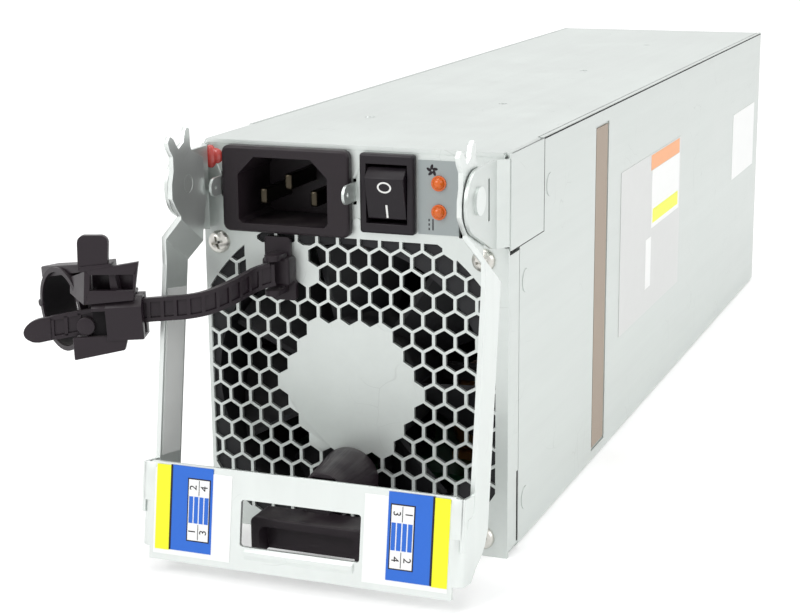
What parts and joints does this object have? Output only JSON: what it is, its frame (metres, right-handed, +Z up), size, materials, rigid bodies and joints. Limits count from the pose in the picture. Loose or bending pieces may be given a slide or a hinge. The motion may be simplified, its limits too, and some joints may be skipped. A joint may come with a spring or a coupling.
{
  "type": "hot swap server power supply",
  "caption": "Metal cased hot swap power supply with a bail handle, mains inlet, rocker switch, hexagon fan grille and a plug retainer clamp.",
  "frame": {"origin": "centre of the flat underside of the case", "axes": "+Z up from the base, -Y toward the front panel with inlet, switch and handle, +Y toward the output connector, +X to the right seen from the front"},
  "size_m": [0.1198, 0.3785, 0.1082],
  "materials": {
    "galvanised_sheet": "satin",
    "zinc_hardware": "satin",
    "handle_white": "satin",
    "black_plastic": "matte",
    "switch_plastic": "satin",
    "amber_lens": "gloss",
    "label_film": "matte",
    "legend_film": "matte",
    "red_lacquer": "gloss",
    "gasket_foam": "matte",
    "board_green": "satin",
    "sink_aluminium": "satin",
    "ferrite_grey": "matte",
    "copper_winding": "satin",
    "capacitor_sleeve": "satin",
    "red_insulation": "satin",
    "blue_insulation": "satin",
    "contact_metal": "satin"
  },
  "bodies": {
    "case": {"chassis_tray": "galvanised_sheet", "top_cover": "galvanised_sheet", "front_panel": "galvanised_sheet", "rear_panel": "galvanised_sheet", "side_rivets": "zinc_hardware", "inlet_housing": "black_plastic", "inlet_pins": "contact_metal", "switch_bezel": "switch_plastic", "legend_plate": "legend_film", "fan_indicator": "amber_lens", "supply_indicator": "amber_lens", "indicator_holders": "black_plastic", "fan_frame": "black_plastic", "fan_screws": "zinc_hardware", "sealed_screw": "red_lacquer", "pivot_rivets": "zinc_hardware", "latch_post": "black_plastic", "strap_anchor": "black_plastic", "gasket_strips": "gasket_foam", "rating_label": "label_film", "rear_label": "label_film", "main_board": "board_green", "board_standoffs": "zinc_hardware", "board_screws": "zinc_hardware", "insulation_sheet": "label_film", "heat_sinks": "sink_aluminium", "bulk_capacitors": "capacitor_sleeve", "transformer_core": "ferrite_grey", "transformer_windings": "copper_winding", "filter_choke": "copper_winding", "output_connector": "black_plastic", "output_contacts": "contact_metal", "fan_wire_red": "red_insulation", "fan_wire_blue": "blue_insulation"},
    "lever": {"bail_handle": "handle_white", "handle_labels": "label_film", "lever_sticker": "label_film"},
    "rocker": {"switch_rocker": "switch_plastic"},
    "rotor": {"fan_rotor": "black_plastic"},
    "latch": {"latch_grip": "black_plastic"},
    "strap": {"retainer_strap": "black_plastic"},
    "clamp": {"clamp_body": "black_plastic"},
    "jaw": {"clamp_jaw": "black_plastic"}
  },
  "joints": [
    {"name": "lever_swing", "type": "hinge", "parent": "case", "child": "lever", "pos_m": [0, -0.1825, 0.0942], "axis": [-1, 0, 0], "range_deg": [-4.9, 55], "deforming": ["retainer_strap"]},
    {"name": "switch_rock", "type": "hinge", "parent": "case", "child": "rocker", "pos_m": [0.0101, -0.1644, 0.0916], "axis": [1, 0, 0], "range_deg": [-26, 0]},
    {"name": "fan_spin", "type": "hinge", "parent": "case", "child": "rotor", "pos_m": [-0.00115, -0.1525, 0.04065], "axis": [0, 1, 0], "continuous": true},
    {"name": "latch_lift", "type": "slide", "parent": "case", "child": "latch", "axis": [0, 0, 1], "range_m": [0, 0.002], "stiffness_N_per_m": 600, "springref_m": -0.0005},
    {"name": "strap_swing", "type": "hinge", "parent": "case", "child": "strap", "pos_m": [-0.019, -0.1725, 0.0706], "axis": [0, 0, 1], "range_deg": [-8, 0], "deforming": ["retainer_strap"]},
    {"name": "clamp_slide", "type": "slide", "parent": "strap", "child": "clamp", "axis": [-0.9499, -0.3086, -0.0499], "range_m": [0, 0.007]},
    {"name": "jaw_swing", "type": "hinge", "parent": "clamp", "child": "jaw", "pos_m": [-0.06615, -0.17495, 0.06287], "axis": [-0.9499, -0.3086, -0.0499], "range_deg": [0, 40]}
  ]
}
